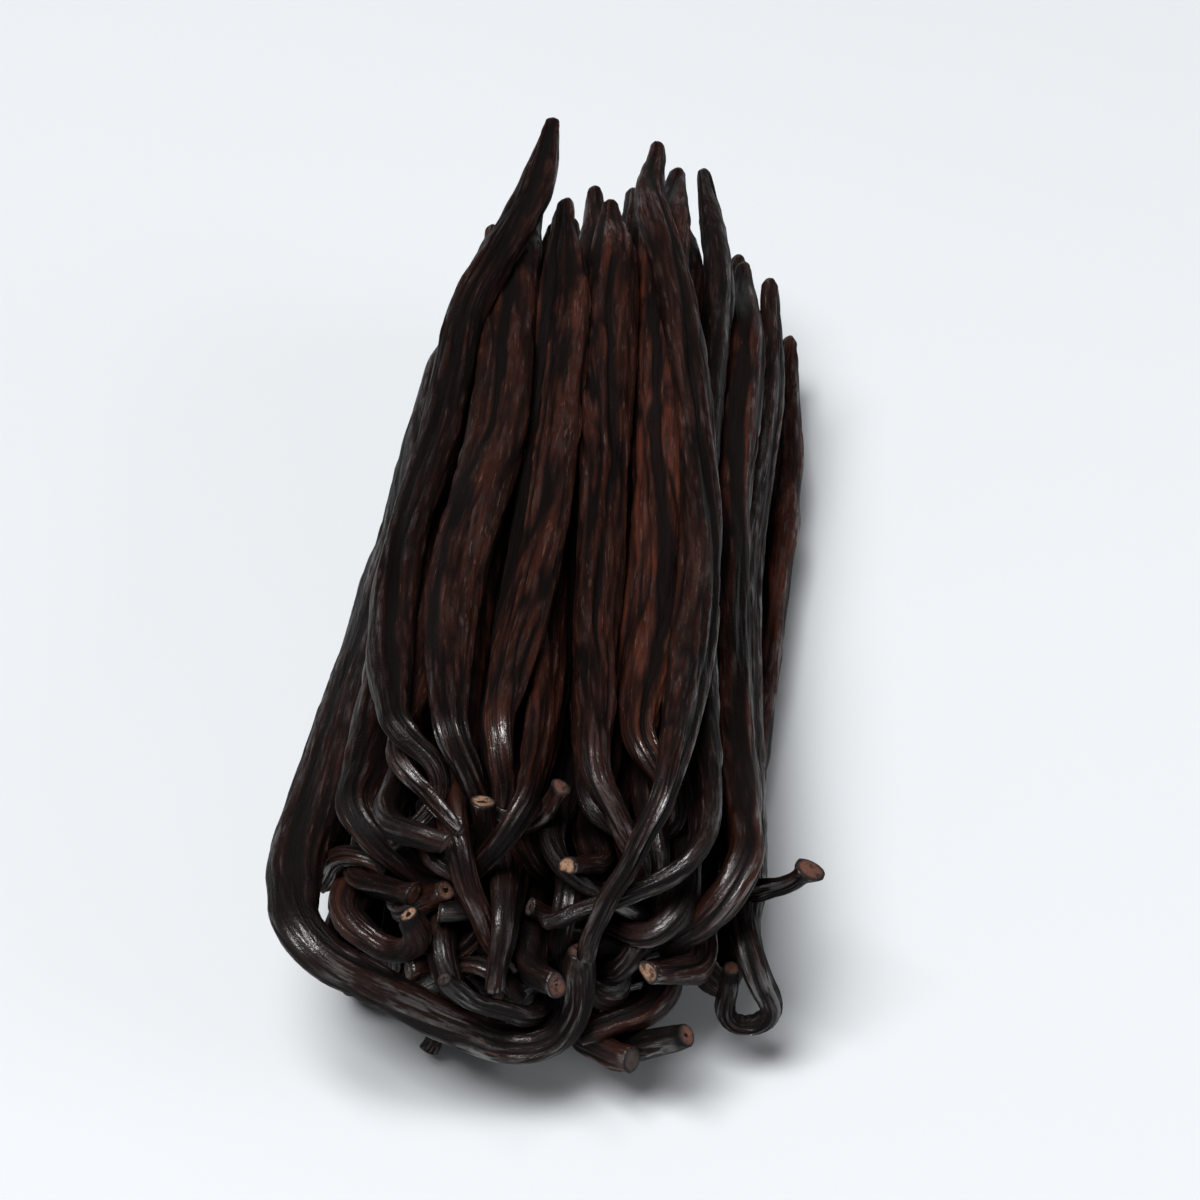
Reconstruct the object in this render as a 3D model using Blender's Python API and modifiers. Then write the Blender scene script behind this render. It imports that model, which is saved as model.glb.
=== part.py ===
"""A bundle of cured vanilla pods lying on its side, as one solid out to its uneven outline.

The pods run along Y. Their stalk ends hook over each other at -Y and their blossom ends are at +Y.
The bundle rests on a small flat cut at Z = 0.
"""
import math
import random

import bmesh
import bpy
import numpy as np
from mathutils import Matrix, Vector

# Driving dimensions, in metres
POD_SPAN = 0.142           # from the line of the necks, where the hooks start, to the blossom ends
BUNDLE_HALF_WIDTH = 0.0235   # from the bundle's axis to the middle of an outermost pod, near the head
BUNDLE_HALF_HEIGHT = 0.0203
POD_WIDTH = (0.0058, 0.0088)      # slimmest and broadest pod, across its flat side
POD_THICKNESS = (0.0039, 0.0052)
STALK_RADIUS = (0.00120, 0.00180)
NECK_LENGTH = (0.024, 0.042)      # over which a pod narrows to its stalk
NECK_OVERLAP = 0.35        # the part of that length which lies past the neck, in the hook
TIP_LENGTH = (0.020, 0.034)       # over which it narrows to its blossom end
TIP_RADIUS = 0.0010
UNEVEN_NECKS = 0.011       # how far the necks are out of line with each other
UNEVEN_TIPS = 0.022        # and the blossom ends
TIP_DRIFT = 0.0030         # how far a blossom end strays to the side
TIP_BEND_LENGTH = 0.030    # and over which length
INNER_FORWARD = 0.0045     # how far the pods of the next ring in stand out past the outermost
STALK_NARROWING = 0.24     # how much of its thickness a stalk loses from its neck to its end
FLARE = (0.78, 1.10)       # the cut end's width as a part of its stalk's
FLARE_LENGTH = 0.0024
HOOK_WOBBLE = 0.07         # how far a hook's direction strays at each section

# Rings of pods from the outside in: how many, and how far out as a part of the outermost ring
RINGS = ((20, 1.0), (15, 0.77), (11, 0.55), (6, 0.31), (1, 0.0))
LOWER_BULGE = 3.0          # power of the outline's lower half, where 2 is an ellipse
TURN = math.radians(14.0)  # how far the bundle turns about its axis from end to end

# Pods that lie across the others on top of the bundle: the place around it in degrees, where
# 90 is the top, and how far they wander to each side
RIDERS = ((118.0, 17.0), (66.0, -13.0))
RIDER_OUT = 1.19

# Girth along the bundle, from the necks to the tips
GIRTH_PLACES = (-0.06, 0.0, 0.14, 0.45, 0.75, 1.0)
GIRTH_SIZES = (1.12, 1.08, 1.01, 0.92, 0.94, 0.90)

# How the solid is made
LINE_STEP = 0.0016         # between the sections of a pod
SECTION_SIDES = 12
CORE_FILL = 0.80           # the core's size as a part of the outermost ring of pods
CORE_SECTIONS = 14
CORE_SIDES = 28
VOXEL = 0.0008
TARGET_TRIANGLES = 9200
FLOOR = 0.0010             # height of the flat cut on the underside
SEED = 46

# Hooks chosen by hand, for pods of the outer ring. Each has the pod's place in the ring, how far
# its neck stands out past the others, the way its stalk heads across the head (degrees, 0 is +X
# and 90 is up), the fold that takes it there, the curl that follows, its straight end, how stout
# it is and how much its end flares.
HAND_HOOKS = {
    # the long U under the middle of the head
    9: {"forward": 0.014, "heading": -36, "fold": 95, "fold_radius": 0.0070, "run": 0.016,
        "curl": 120, "curl_radius": 0.0075, "stub": 0.005, "girth": 1.45, "flare": 0.85},
    # the stout pod on the right that bends down and in
    1: {"forward": 0.003, "heading": 228, "fold": 94, "fold_radius": 0.0085, "run": 0.004,
        "curl": -40, "curl_radius": 0.0110, "stub": 0.004, "girth": 1.45, "flare": 0.80},
    # the small ring beside the lower right edge
    19: {"forward": 0.005, "heading": -62, "fold": 88, "fold_radius": 0.0052, "run": 0.002,
         "curl": -215, "curl_radius": 0.0036, "stub": 0.004, "girth": 0.95, "flare": 1.00},
    # the short flared end above it
    0: {"forward": 0.0, "heading": 28, "fold": 78, "fold_radius": 0.0040, "run": 0.001,
        "curl": 20, "curl_radius": 0.0060, "stub": 0.001, "girth": 0.72, "flare": 1.50},
}


def smooth(value):
    """0 to 1 with a flat start and end."""
    value = min(max(value, 0.0), 1.0)
    return value * value * (3.0 - 2.0 * value)


def girth_at(part):
    """The bundle's size at a part of its length, 0 at the necks and 1 at the tips."""
    return float(np.interp(part, GIRTH_PLACES, GIRTH_SIZES))


def outline_point(angle, out):
    """A point of the bundle's cross-section around its axis, flatter below than above."""
    across = math.cos(angle)
    up = math.sin(angle)
    if up < 0.0:
        power = 2.0 / LOWER_BULGE
        across = math.copysign(abs(across) ** power, across)
        up = -abs(up) ** power
    return out * BUNDLE_HALF_WIDTH * across, out * BUNDLE_HALF_HEIGHT * up


def ring_angles(widths, start):
    """Places around the outline that give each pod of a ring room for its width."""
    angles = np.linspace(start, start + math.tau, 361)
    points = np.array([outline_point(angle, 1.0) for angle in angles])
    walked = np.concatenate(([0.0], np.cumsum(np.linalg.norm(np.diff(points, axis=0), axis=1))))
    ends = np.cumsum(widths)
    middles = (ends - 0.5 * np.array(widths)) / ends[-1] * walked[-1]
    return [float(angle) for angle in np.interp(middles, walked, angles)]


def random_hook(rng, angle, ring):
    """A hook that mostly curls over the middle of the head."""
    inward = math.degrees(angle) + 180.0
    kind = rng.random()
    hook = {"heading": inward + rng.uniform(-80.0, 80.0), "girth": rng.uniform(0.85, 1.15),
            "flare": rng.uniform(*FLARE),
            "run": rng.uniform(0.0, 0.005), "stub": rng.uniform(0.001, 0.004)}
    stub_share = 0.14 if ring == 0 else 0.36
    if kind < stub_share:
        hook["fold"] = rng.uniform(38.0, 78.0)
        hook["fold_radius"] = rng.uniform(0.005, 0.010)
        hook["curl"] = 0.0
        hook["curl_radius"] = 0.006
        hook["heading"] = inward + rng.uniform(-110.0, 110.0)
    elif kind < stub_share + 0.18:
        hook["fold"] = rng.uniform(95.0, 165.0)
        hook["fold_radius"] = rng.uniform(0.0038, 0.0060)
        hook["curl"] = rng.uniform(-20.0, 20.0)
        hook["curl_radius"] = 0.008
    elif kind < stub_share + 0.36:
        hook["heading"] = inward + rng.uniform(-28.0, 28.0)
        hook["fold"] = rng.uniform(68.0, 98.0)
        hook["fold_radius"] = rng.uniform(0.0050, 0.0095)
        hook["run"] = rng.uniform(0.003, 0.010)
        hook["curl"] = rng.uniform(-35.0, 35.0)
        hook["curl_radius"] = 0.009
    else:
        hook["fold"] = rng.uniform(62.0, 98.0)
        hook["fold_radius"] = rng.uniform(0.0040, 0.0066)
        off_centre = math.sin(math.radians(hook["heading"] - inward))
        outward = 1.0 if rng.random() < 0.2 else -1.0
        hook["curl"] = math.copysign(rng.uniform(30.0, 160.0), outward * off_centre)
        hook["curl_radius"] = rng.uniform(0.0038, 0.0070)
    return hook


def random_pod(rng, ring, out):
    """A pod's size and its unevenness, before it has its place in the bundle."""
    return {
        "ring": ring,
        "out": out * rng.uniform(0.93, 1.05),
        "half_width": 0.5 * rng.uniform(*POD_WIDTH),
        "half_thickness": 0.5 * rng.uniform(*POD_THICKNESS),
        "stalk": rng.uniform(*STALK_RADIUS),
        "neck_length": rng.uniform(*NECK_LENGTH),
        "tip_length": rng.uniform(*TIP_LENGTH),
        "neck": rng.uniform(-0.5, 0.5) * UNEVEN_NECKS - INNER_FORWARD * ring ** 0.7,
        "tip": POD_SPAN - rng.random() ** 1.5 * UNEVEN_TIPS,
        "roll": math.radians(rng.gauss(0.0, 28.0)),
        "twist": math.radians(rng.gauss(0.0, 55.0)),
        "sway": math.radians(rng.uniform(2.0, 7.0)),
        "sway_phase": rng.uniform(0.0, math.tau),
        "sway_waves": rng.uniform(0.7, 1.6),
        "rise": rng.uniform(0.0002, 0.0009),
        "rise_phase": rng.uniform(0.0, math.tau),
        "tip_drift": (rng.uniform(-1.0, 1.0), rng.uniform(-1.0, 1.0)),
    }


def make_pods():
    """Every pod's place in the bundle, its size and its hook."""
    rng = random.Random(SEED)
    pods = []
    for ring, (count, out) in enumerate(RINGS):
        members = [random_pod(rng, ring, out) for index in range(count)]
        start = math.pi * (ring % 2) / count
        places = ring_angles([pod["half_width"] for pod in members], start)
        for index, (pod, angle) in enumerate(zip(members, places)):
            pod["angle"] = angle
            pod["hook"] = random_hook(rng, angle, ring)
            if ring == 0 and index in HAND_HOOKS:
                pod["hook"] = HAND_HOOKS[index]
                pod["neck"] = -pod["hook"]["forward"]
        pods += members
    for place, wander in RIDERS:
        pod = random_pod(rng, 0, RIDER_OUT)
        pod["half_width"] = 0.5 * POD_WIDTH[0]
        pod["half_thickness"] = 0.5 * POD_THICKNESS[0]
        pod["angle"] = math.radians(place)
        pod["sway"] = math.radians(wander)
        pod["sway_phase"] = 0.4
        pod["sway_waves"] = 0.62
        pod["hook"] = random_hook(rng, pod["angle"], 0)
        pods.append(pod)
    return pods


def body_point(pod, along):
    """The middle of a pod at a distance from the line of the necks."""
    part = along / POD_SPAN
    angle = pod["angle"] + TURN * (part - 0.4)
    angle += pod["sway"] * math.sin(pod["sway_phase"] + pod["sway_waves"] * math.tau * part)
    across, up = outline_point(angle, pod["out"] * girth_at(part))
    lift = pod["rise"] * math.sin(pod["rise_phase"] + 2.0 * math.tau * part)
    bottom = BUNDLE_HALF_HEIGHT * girth_at(part) + 0.5 * POD_THICKNESS[1]
    drift = TIP_DRIFT * smooth(1.0 - (pod["tip"] - along) / TIP_BEND_LENGTH) ** 1.5
    height = bottom + up + lift + drift * pod["tip_drift"][1]
    return Vector((across + drift * pod["tip_drift"][0], along,
                   max(height, FLOOR + 0.5 * POD_THICKNESS[0])))


def turn_steps(degrees, radius):
    """The small turns of one bend, gentler at its start and end."""
    total = math.radians(abs(degrees))
    count = max(2, round(total * radius / LINE_STEP))
    weights = [math.sin(math.pi * (step + 0.5) / count) ** 0.6 for step in range(count)]
    scale = math.copysign(total, degrees) / sum(weights)
    return [weight * scale for weight in weights]


def hook_points(start, direction, pod):
    """The middle line of a stalk, from its neck to its cut end."""
    hook = pod["hook"]
    heading = math.radians(hook["heading"])
    aim = Vector((math.cos(heading), 0.0, math.sin(heading)))
    fold_axis = direction.cross(aim).normalized()
    turns = [(fold_axis, angle) for angle in turn_steps(hook["fold"], hook["fold_radius"])]
    turns += [(fold_axis, 0.0)] * round(hook["run"] / LINE_STEP)
    if hook["curl"]:
        face_axis = Vector((0.15 * math.sin(pod["sway_phase"]), -1.0, 0.15)).normalized()
        turns += [(face_axis, angle) for angle in turn_steps(hook["curl"], hook["curl_radius"])]
    turns += [(fold_axis, 0.0)] * max(1, round(hook["stub"] / LINE_STEP))
    points = []
    place = start
    for step, (axis, angle) in enumerate(turns):
        direction = Matrix.Rotation(angle, 3, axis) @ direction
        wobble = Vector((math.sin(1.1 * step + pod["sway_phase"]), 0.0,
                         math.cos(1.4 * step + pod["rise_phase"])))
        direction = (direction + HOOK_WOBBLE * wobble).normalized()
        place = place + direction * LINE_STEP
        place.z = max(place.z, FLOOR + pod["stalk"] * hook["girth"])
        points.append(place)
    return points


def pod_line(pod):
    """A pod's middle line from its blossom end to its cut end, and the number of its neck."""
    neck = round((pod["tip"] - pod["neck"]) / LINE_STEP)
    line = [body_point(pod, pod["tip"] + (pod["neck"] - pod["tip"]) * step / neck)
            for step in range(neck + 1)]
    direction = (line[-1] - line[-2]).normalized()
    return line + hook_points(line[-1], direction, pod), neck


def section_sizes(pod, count, neck):
    """Half the width and half the thickness of each section along a pod's line."""
    hook = pod["hook"]
    sizes = []
    for index in range(count):
        from_tip = index * LINE_STEP
        to_neck = (neck - index) * LINE_STEP
        to_end = (count - 1 - index) * LINE_STEP
        hook_part = smooth((index - neck) / (count - 1 - neck))
        stem = pod["stalk"] * hook["girth"] * (1.0 + STALK_NARROWING * (0.5 - hook_part))
        broaden = smooth(to_neck / pod["neck_length"] + NECK_OVERLAP)
        taper = smooth(0.12 + 0.88 * from_tip / pod["tip_length"])
        blunt = math.sqrt(min(1.0, (from_tip + 0.0001) / (1.6 * TIP_RADIUS)))
        flare = 1.0 + (hook["flare"] - 1.0) * smooth(1.0 - to_end / FLARE_LENGTH)
        size = []
        for half in (pod["half_width"], pod["half_thickness"]):
            half = stem + (half - stem) * broaden
            half = TIP_RADIUS + (half - TIP_RADIUS) * taper
            size.append(half * blunt * flare)
        sizes.append(size)
    return sizes


def section_directions(pod, line):
    """The two directions of every section: across the flat side, which starts out lying around
    the bundle and turns slowly with the pod's twist, and over it."""
    around = Vector((-math.sin(pod["angle"]) * BUNDLE_HALF_WIDTH, 0.0,
                     math.cos(pod["angle"]) * BUNDLE_HALF_HEIGHT))
    first = (line[1] - line[0]).normalized()
    across = Matrix.Rotation(pod["roll"], 3, first) @ around
    directions = []
    for index in range(len(line)):
        before = line[max(0, index - 1)]
        after = line[min(len(line) - 1, index + 1)]
        tangent = (after - before).normalized()
        across = (across - across.dot(tangent) * tangent).normalized()
        across = Matrix.Rotation(pod["twist"] / len(line), 3, tangent) @ across
        directions.append((across, tangent.cross(across)))
    return directions


def add_skin(mesh, rings):
    """Join closed rings of points by faces, and close both ends."""
    rings = [[mesh.verts.new(point) for point in ring] for ring in rings]
    sides = len(rings[0])
    for lower, upper in zip(rings, rings[1:]):
        for side in range(sides):
            after = (side + 1) % sides
            mesh.faces.new((lower[side], lower[after], upper[after], upper[side]))
    mesh.faces.new(reversed(rings[0]))
    mesh.faces.new(rings[-1])


def add_pod(mesh, pod):
    """Loft oval sections, broad in the body and round in the stalk, along a pod's line."""
    line, neck = pod_line(pod)
    sizes = section_sizes(pod, len(line), neck)
    turns = [math.tau * side / SECTION_SIDES for side in range(SECTION_SIDES)]
    rings = []
    for point, (wide, thick), (across, over) in zip(line, sizes, section_directions(pod, line)):
        rings.append([point + across * wide * math.cos(turn) + over * thick * math.sin(turn)
                      for turn in turns])
    add_skin(mesh, rings)


def add_core(mesh):
    """The inner mass of the bundle, which fills the gaps between the pods."""
    turns = [math.tau * side / CORE_SIDES for side in range(CORE_SIDES)]
    last = POD_SPAN - UNEVEN_TIPS
    rings = []
    for section in range(CORE_SECTIONS):
        along = last * section / (CORE_SECTIONS - 1)
        rounded = math.sin(math.pi * (section + 0.5) / CORE_SECTIONS) ** 0.25
        girth = girth_at(along / POD_SPAN)
        middle = BUNDLE_HALF_HEIGHT * girth + 0.5 * POD_THICKNESS[1]
        ring = []
        for turn in turns:
            across, up = outline_point(turn, CORE_FILL * girth * rounded)
            ring.append(Vector((across, along, middle + up)))
        rings.append(ring)
    add_skin(mesh, rings)


def keep_largest_piece(mesh):
    """Remove every loose piece but the one with the most faces, such as the wall of a closed gap."""
    left = set(mesh.faces)
    pieces = []
    while left:
        stack = [left.pop()]
        piece = list(stack)
        while stack:
            neighbours = {face for edge in stack.pop().edges for face in edge.link_faces} & left
            left -= neighbours
            piece += neighbours
            stack += neighbours
        pieces.append(piece)
    pieces.sort(key=len)
    for piece in pieces[:-1]:
        bmesh.ops.delete(mesh, geom=piece, context="FACES")


def cut_underside(mesh):
    """Cut the solid flat at the floor and close the cut."""
    geometry = mesh.verts[:] + mesh.edges[:] + mesh.faces[:]
    cut = bmesh.ops.bisect_plane(mesh, geom=geometry, plane_co=(0.0, 0.0, FLOOR),
                                 plane_no=(0.0, 0.0, 1.0), clear_inner=True)
    edges = [item for item in cut["geom_cut"] if isinstance(item, bmesh.types.BMEdge)]
    bmesh.ops.triangle_fill(mesh, use_beauty=True, edges=edges, normal=(0.0, 0.0, -1.0))


def apply_modifiers(solid):
    """Turn the object's modifiers into its mesh."""
    graph = bpy.context.evaluated_depsgraph_get()
    mesh = bpy.data.meshes.new_from_object(solid.evaluated_get(graph))
    solid.modifiers.clear()
    solid.data = mesh


def edit_mesh(solid, change):
    """Run one function on the object's mesh."""
    mesh = bmesh.new()
    mesh.from_mesh(solid.data)
    change(mesh)
    mesh.to_mesh(solid.data)
    mesh.free()


def add_shapes(mesh):
    """Every pod and the core, still as shapes that run through each other."""
    for pod in make_pods():
        add_pod(mesh, pod)
    add_core(mesh)
    bmesh.ops.recalc_face_normals(mesh, faces=mesh.faces[:])


def stand_on_origin(solid):
    """Move the mesh so that the middle of its box's underside is the origin."""
    corners = [[vertex.co[axis] for vertex in solid.data.vertices] for axis in range(3)]
    middle = [(min(values) + max(values)) / 2.0 for values in corners]
    solid.data.transform(Matrix.Translation((-middle[0], -middle[1], -min(corners[2]))))


def pod_skin():
    """Oily near-black brown."""
    material = bpy.data.materials.new("cured pod skin")
    material.use_nodes = True
    shader = material.node_tree.nodes["Principled BSDF"]
    shader.inputs["Base Color"].default_value = (0.020, 0.010, 0.008, 1.0)
    shader.inputs["Roughness"].default_value = 0.45
    shader.inputs["Metallic"].default_value = 0.0
    return material


def make_bundle(collection):
    """The whole bundle as one closed solid."""
    bundle = bpy.data.objects.new("pod_bundle", bpy.data.meshes.new("pod_bundle"))
    collection.objects.link(bundle)
    edit_mesh(bundle, add_shapes)
    remesh = bundle.modifiers.new("one skin", "REMESH")
    remesh.mode = "VOXEL"
    remesh.voxel_size = VOXEL
    bundle.modifiers.new("triangles", "TRIANGULATE")
    apply_modifiers(bundle)
    edit_mesh(bundle, keep_largest_piece)
    decimate = bundle.modifiers.new("fewer faces", "DECIMATE")
    decimate.ratio = TARGET_TRIANGLES / len(bundle.data.polygons)
    apply_modifiers(bundle)
    edit_mesh(bundle, cut_underside)
    stand_on_origin(bundle)
    bundle.data.materials.append(pod_skin())


def main():
    for old in list(bpy.data.objects):
        bpy.data.objects.remove(old)
    collection = bpy.data.collections.new("vanilla pod bundle")
    bpy.context.scene.collection.children.link(collection)
    make_bundle(collection)


main()
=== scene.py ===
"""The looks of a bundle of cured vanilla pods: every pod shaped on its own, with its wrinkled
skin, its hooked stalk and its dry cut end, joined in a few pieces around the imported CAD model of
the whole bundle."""

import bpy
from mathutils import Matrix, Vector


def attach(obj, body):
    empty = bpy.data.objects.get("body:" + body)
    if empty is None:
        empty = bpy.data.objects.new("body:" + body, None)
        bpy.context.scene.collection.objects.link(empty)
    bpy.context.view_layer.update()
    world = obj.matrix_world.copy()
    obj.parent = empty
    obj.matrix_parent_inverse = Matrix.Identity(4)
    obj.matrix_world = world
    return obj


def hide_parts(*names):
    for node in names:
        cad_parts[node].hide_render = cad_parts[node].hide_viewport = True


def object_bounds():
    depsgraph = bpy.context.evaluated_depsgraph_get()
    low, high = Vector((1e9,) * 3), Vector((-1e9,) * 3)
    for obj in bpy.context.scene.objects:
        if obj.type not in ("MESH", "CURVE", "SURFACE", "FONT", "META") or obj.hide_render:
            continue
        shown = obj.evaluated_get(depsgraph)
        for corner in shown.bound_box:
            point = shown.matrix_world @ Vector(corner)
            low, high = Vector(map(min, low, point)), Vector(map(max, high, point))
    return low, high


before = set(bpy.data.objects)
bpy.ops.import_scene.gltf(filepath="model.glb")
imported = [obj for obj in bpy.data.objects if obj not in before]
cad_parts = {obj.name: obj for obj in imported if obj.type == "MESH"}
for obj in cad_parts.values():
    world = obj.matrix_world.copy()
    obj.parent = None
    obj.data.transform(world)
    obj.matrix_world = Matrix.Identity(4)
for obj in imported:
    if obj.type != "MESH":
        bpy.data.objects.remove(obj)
CAD_BOX = [list(corner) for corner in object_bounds()]

import functools
import math
import random

import bpy
import numpy as np
from mathutils import Matrix, Vector

bl_info = {
    "name": "Vanilla Pod Bundle",
    "version": (1, 0, 0),
    "blender": (4, 5, 0),
    "location": "3D View > Sidebar > Vanilla",
    "description": "Models a bundle of cured vanilla pods, pod by pod, with its light and camera",
    "category": "Add Mesh",
}

BODY = "root"
CAD_NODE = "pod_bundle"
MM = 0.001

# ---------------------------------------------------------------- the bundle, as the CAD lays it

POD_SPAN = 0.142           # from the line of the necks, where the hooks start, to the blossom ends
BUNDLE_HALF_WIDTH = 0.0235   # from the bundle's axis to the middle of an outermost pod
BUNDLE_HALF_HEIGHT = 0.0203
POD_WIDTH = (0.0058, 0.0088)      # slimmest and broadest pod, across its flat side
POD_THICKNESS = (0.0039, 0.0052)
STALK_RADIUS = (0.00120, 0.00180)
NECK_LENGTH = (0.024, 0.042)      # over which a pod narrows to its stalk
NECK_OVERLAP = 0.35        # the part of that length which lies past the neck, in the hook
TIP_LENGTH = (0.020, 0.034)       # over which it narrows to its blossom end
TIP_RADIUS = 0.0010
UNEVEN_NECKS = 0.011       # how far the necks are out of line with each other
UNEVEN_TIPS = 0.022        # and the blossom ends
TIP_DRIFT = 0.0030         # how far a blossom end strays to the side
TIP_BEND_LENGTH = 0.030    # and over which length
INNER_FORWARD = 0.0045     # how far the inner pods stand out past the outermost ones
STALK_NARROWING = 0.24     # how much of its thickness a stalk loses from its neck to its end
FLARE = (0.78, 1.10)       # the cut end's width as a part of its stalk's
FLARE_LENGTH = 0.0024

# Rings of pods from the outside in: how many, and how far out as a part of the outermost ring
RINGS = ((20, 1.0), (15, 0.77), (11, 0.55), (6, 0.31), (1, 0.0))
LOWER_BULGE = 3.0          # power of the outline's lower half, where 2 is an ellipse
TURN = math.radians(14.0)  # how far the bundle turns about its axis from end to end
RIDERS = ((118.0, 17.0), (66.0, -13.0))   # pods across the top: place and wander in degrees
RIDER_OUT = 1.19
GIRTH_PLACES = (-0.06, 0.0, 0.14, 0.45, 0.75, 1.0)
GIRTH_SIZES = (1.12, 1.08, 1.01, 0.92, 0.94, 0.90)
HOOK_WOBBLE = 0.07         # how far a hook's direction strays at each point
LINE_STEP = 0.0016         # between the points of a pod's middle line
FLOOR = 0.0010             # height of the surface that the bundle lies on, as it is laid out
SEED = 46

# Hooks given one by one, for pods of the outer ring
HAND_HOOKS = {
    # the long U under the middle of the head
    9: {"forward": 0.014, "heading": -36, "fold": 95, "fold_radius": 0.0070, "run": 0.016,
        "curl": 120, "curl_radius": 0.0075, "stub": 0.005, "girth": 1.45, "flare": 0.85},
    # the stout pod on the right that bends down and in
    1: {"forward": 0.003, "heading": 228, "fold": 94, "fold_radius": 0.0085, "run": 0.004,
        "curl": -40, "curl_radius": 0.0110, "stub": 0.004, "girth": 1.45, "flare": 0.80},
    # the small ring beside the lower right edge
    19: {"forward": 0.005, "heading": -62, "fold": 88, "fold_radius": 0.0052, "run": 0.002,
         "curl": -215, "curl_radius": 0.0036, "stub": 0.004, "girth": 0.95, "flare": 1.00},
    # the short flared end above it
    0: {"forward": 0.0, "heading": 28, "fold": 78, "fold_radius": 0.0040, "run": 0.001,
        "curl": 20, "curl_radius": 0.0060, "stub": 0.001, "girth": 0.72, "flare": 1.50},
}


def smooth(value):
    """0 to 1 with a flat start and end, for a number or an array."""
    value = np.clip(value, 0.0, 1.0)
    return value * value * (3.0 - 2.0 * value)


def girth_at(part):
    """The bundle's size at a part of its length, 0 at the necks and 1 at the tips."""
    return float(np.interp(part, GIRTH_PLACES, GIRTH_SIZES))


def outline_point(angle, out):
    """A point of the bundle's cross-section around its axis, flatter below than above."""
    across = math.cos(angle)
    up = math.sin(angle)
    if up < 0.0:
        power = 2.0 / LOWER_BULGE
        across = math.copysign(abs(across) ** power, across)
        up = -abs(up) ** power
    return out * BUNDLE_HALF_WIDTH * across, out * BUNDLE_HALF_HEIGHT * up


def ring_angles(widths, start):
    """Places around the outline that give each pod of a ring room for its width."""
    angles = np.linspace(start, start + math.tau, 361)
    points = np.array([outline_point(angle, 1.0) for angle in angles])
    walked = np.concatenate(([0.0], np.cumsum(np.linalg.norm(np.diff(points, axis=0), axis=1))))
    ends = np.cumsum(widths)
    middles = (ends - 0.5 * np.array(widths)) / ends[-1] * walked[-1]
    return [float(angle) for angle in np.interp(middles, walked, angles)]


def random_hook(rng, angle, ring):
    """A hook that mostly curls over the middle of the head."""
    inward = math.degrees(angle) + 180.0
    kind = rng.random()
    hook = {"heading": inward + rng.uniform(-80.0, 80.0), "girth": rng.uniform(0.85, 1.15),
            "flare": rng.uniform(*FLARE),
            "run": rng.uniform(0.0, 0.005), "stub": rng.uniform(0.001, 0.004)}
    stub_share = 0.14 if ring == 0 else 0.36
    if kind < stub_share:
        hook["fold"] = rng.uniform(38.0, 78.0)
        hook["fold_radius"] = rng.uniform(0.005, 0.010)
        hook["curl"] = 0.0
        hook["curl_radius"] = 0.006
        hook["heading"] = inward + rng.uniform(-110.0, 110.0)
    elif kind < stub_share + 0.18:
        hook["fold"] = rng.uniform(95.0, 165.0)
        hook["fold_radius"] = rng.uniform(0.0038, 0.0060)
        hook["curl"] = rng.uniform(-20.0, 20.0)
        hook["curl_radius"] = 0.008
    elif kind < stub_share + 0.36:
        hook["heading"] = inward + rng.uniform(-28.0, 28.0)
        hook["fold"] = rng.uniform(68.0, 98.0)
        hook["fold_radius"] = rng.uniform(0.0050, 0.0095)
        hook["run"] = rng.uniform(0.003, 0.010)
        hook["curl"] = rng.uniform(-35.0, 35.0)
        hook["curl_radius"] = 0.009
    else:
        hook["fold"] = rng.uniform(62.0, 98.0)
        hook["fold_radius"] = rng.uniform(0.0040, 0.0066)
        off_centre = math.sin(math.radians(hook["heading"] - inward))
        outward = 1.0 if rng.random() < 0.2 else -1.0
        hook["curl"] = math.copysign(rng.uniform(30.0, 160.0), outward * off_centre)
        hook["curl_radius"] = rng.uniform(0.0038, 0.0070)
    return hook


def random_pod(rng, ring, out):
    """A pod's size and its unevenness, before it has its place in the bundle."""
    return {
        "ring": ring,
        "out": out * rng.uniform(0.93, 1.05),
        "half_width": 0.5 * rng.uniform(*POD_WIDTH),
        "half_thickness": 0.5 * rng.uniform(*POD_THICKNESS),
        "stalk": rng.uniform(*STALK_RADIUS),
        "neck_length": rng.uniform(*NECK_LENGTH),
        "tip_length": rng.uniform(*TIP_LENGTH),
        "neck": rng.uniform(-0.5, 0.5) * UNEVEN_NECKS - INNER_FORWARD * ring ** 0.7,
        "tip": POD_SPAN - rng.random() ** 1.5 * UNEVEN_TIPS,
        "roll": math.radians(rng.gauss(0.0, 28.0)),
        "twist": math.radians(rng.gauss(0.0, 55.0)),
        "sway": math.radians(rng.uniform(2.0, 7.0)),
        "sway_phase": rng.uniform(0.0, math.tau),
        "sway_waves": rng.uniform(0.7, 1.6),
        "rise": rng.uniform(0.0002, 0.0009),
        "rise_phase": rng.uniform(0.0, math.tau),
        "tip_drift": (rng.uniform(-1.0, 1.0), rng.uniform(-1.0, 1.0)),
    }


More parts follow.
